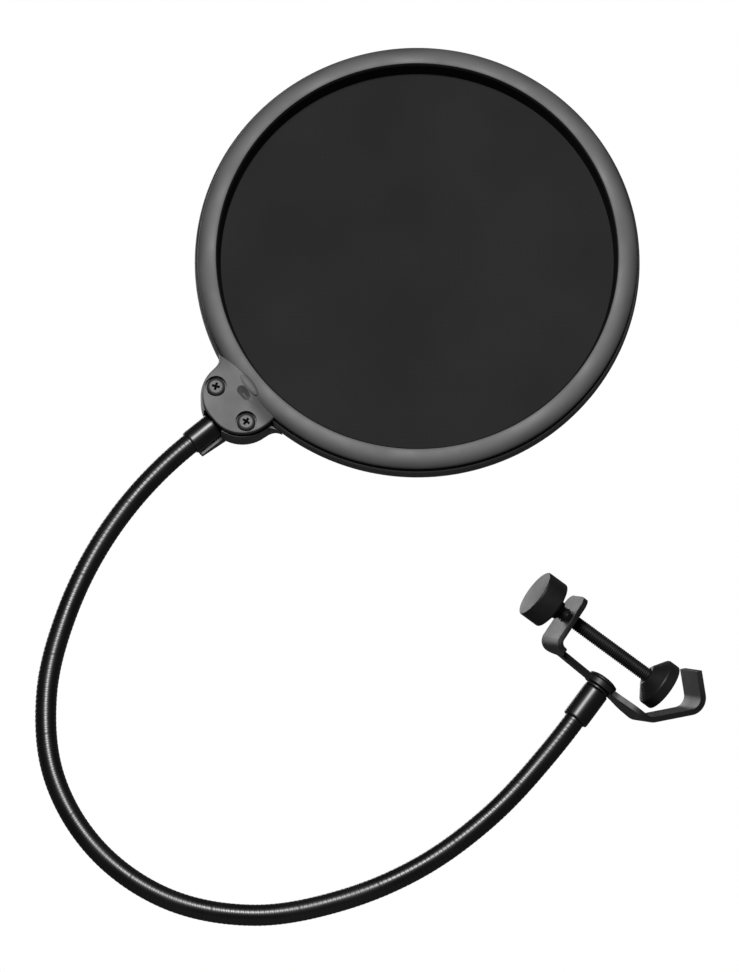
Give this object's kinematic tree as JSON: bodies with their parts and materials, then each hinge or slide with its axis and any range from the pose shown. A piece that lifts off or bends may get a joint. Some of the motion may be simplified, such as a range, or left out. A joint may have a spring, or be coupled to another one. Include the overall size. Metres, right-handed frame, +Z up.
{
  "type": "microphone pop filter",
  "caption": "Round mesh pop filter in a plastic hoop, on a bendable gooseneck with a screw clamp for a stand's tube.",
  "frame": {"origin": "middle of the flat inner face of the clamp jaw's outer leg, where the stand's tube rests", "axes": "+Z up, along the standing hoop's height; -Y is the hoop's front; +X to the right as seen from the front"},
  "size_m": [0.2328, 0.0463, 0.3169],
  "materials": {
    "hoop_plastic": "satin moulded",
    "mesh_fabric": "fine woven nylon",
    "black_plastic": "fine matte",
    "neck_steel": "satin black",
    "bracket_steel": "satin black",
    "screw_steel": "blackened steel",
    "pad_rubber": "matte"
  },
  "bodies": {
    "clamp": {"clamp_bracket": "bracket_steel", "lower_ferrule": "neck_steel", "neck_screw": "screw_steel", "spring_washer": "screw_steel", "neck_segment_13": "neck_steel"},
    "swivel_pad": {"swivel_pad": "black_plastic", "pad_liner": "pad_rubber"},
    "clamp_screw": {"clamp_screw": "screw_steel", "knob": "black_plastic"},
    "neck_12": {"neck_segment_12": "neck_steel"},
    "neck_11": {"neck_segment_11": "neck_steel"},
    "neck_10": {"neck_segment_10": "neck_steel"},
    "neck_09": {"neck_segment_09": "neck_steel"},
    "neck_08": {"neck_segment_08": "neck_steel"},
    "neck_07": {"neck_segment_07": "neck_steel"},
    "neck_06": {"neck_segment_06": "neck_steel"},
    "neck_05": {"neck_segment_05": "neck_steel"},
    "neck_04": {"neck_segment_04": "neck_steel"},
    "neck_03": {"neck_segment_03": "neck_steel"},
    "neck_02": {"neck_segment_02": "neck_steel"},
    "filter_head": {"front_ring": "hoop_plastic", "rear_ring": "hoop_plastic", "front_mesh": "mesh_fabric", "rear_mesh": "mesh_fabric", "mesh_spacer": "black_plastic", "tab_screw_upper": "screw_steel", "tab_screw_lower": "screw_steel", "neck_anchor": "screw_steel", "upper_ferrule": "neck_steel", "neck_segment_01": "neck_steel"}
  },
  "joints": [
    {"name": "clamp_screw_travel", "type": "slide", "parent": "clamp", "child": "swivel_pad", "axis": [-0.7744, -0.4288, 0.4652], "range_m": [-0.00201, 0.03201]},
    {"name": "clamp_screw_turn", "type": "hinge", "parent": "swivel_pad", "child": "clamp_screw", "pos_m": [-0.04275, -0.02094, 0.01767], "axis": [-0.7744, -0.4288, 0.4652], "range_deg": [-900, 14400]},
    {"name": "neck_bend_01", "type": "hinge", "parent": "neck_02", "child": "filter_head", "pos_m": [-0.18469, -0.0072, 0.07416], "axis": [0, 1, 0], "range_deg": [-40, 17]},
    {"name": "neck_bend_02", "type": "hinge", "parent": "neck_03", "child": "neck_02", "pos_m": [-0.2033, -0.0072, 0.05031], "axis": [0.85, 0, -0.5267], "range_deg": [-30, 30]},
    {"name": "neck_bend_03", "type": "hinge", "parent": "neck_04", "child": "neck_03", "pos_m": [-0.21637, -0.0072, 0.02303], "axis": [0, 1, 0], "range_deg": [-40, 17]},
    {"name": "neck_bend_04", "type": "hinge", "parent": "neck_05", "child": "neck_04", "pos_m": [-0.22332, -0.0072, -0.00642], "axis": [0.9928, 0, -0.1201], "range_deg": [-30, 30]},
    {"name": "neck_bend_05", "type": "hinge", "parent": "neck_06", "child": "neck_05", "pos_m": [-0.22051, -0.0072, -0.03637], "axis": [0, 1, 0], "range_deg": [-40, 5]},
    {"name": "neck_bend_06", "type": "hinge", "parent": "neck_07", "child": "neck_06", "pos_m": [-0.20554, -0.0072, -0.06246], "axis": [0.7421, 0, 0.6703], "range_deg": [-30, 30]},
    {"name": "neck_bend_07", "type": "hinge", "parent": "neck_08", "child": "neck_07", "pos_m": [-0.1811, -0.0072, -0.07999], "axis": [0, 1, 0], "range_deg": [-40, 5]},
    {"name": "neck_bend_08", "type": "hinge", "parent": "neck_09", "child": "neck_08", "pos_m": [-0.15159, -0.0072, -0.08582], "axis": [0.0189, 0, -0.9998], "range_deg": [-30, 30]},
    {"name": "neck_bend_09", "type": "hinge", "parent": "neck_10", "child": "neck_09", "pos_m": [-0.1218, -0.0072, -0.08071], "axis": [0, 1, 0], "range_deg": [-40, 15]},
    {"name": "neck_bend_10", "type": "hinge", "parent": "neck_11", "child": "neck_10", "pos_m": [-0.09406, -0.0072, -0.06865], "axis": [0.5042, 0, -0.8636], "range_deg": [-30, 30]},
    {"name": "neck_bend_11", "type": "hinge", "parent": "neck_12", "child": "neck_11", "pos_m": [-0.06993, -0.0072, -0.05043], "axis": [0, 1, 0], "range_deg": [-35, 22]},
    {"name": "neck_bend_12", "type": "hinge", "parent": "clamp", "child": "neck_12", "pos_m": [-0.04958, -0.00777, -0.028], "axis": [0.7748, -0.0019, -0.6322], "range_deg": [-30, 30]}
  ],
  "couplings": [
    {"joint": "clamp_screw_travel", "follows": "clamp_screw_turn", "m_per_rad": 0.00012732}
  ]
}
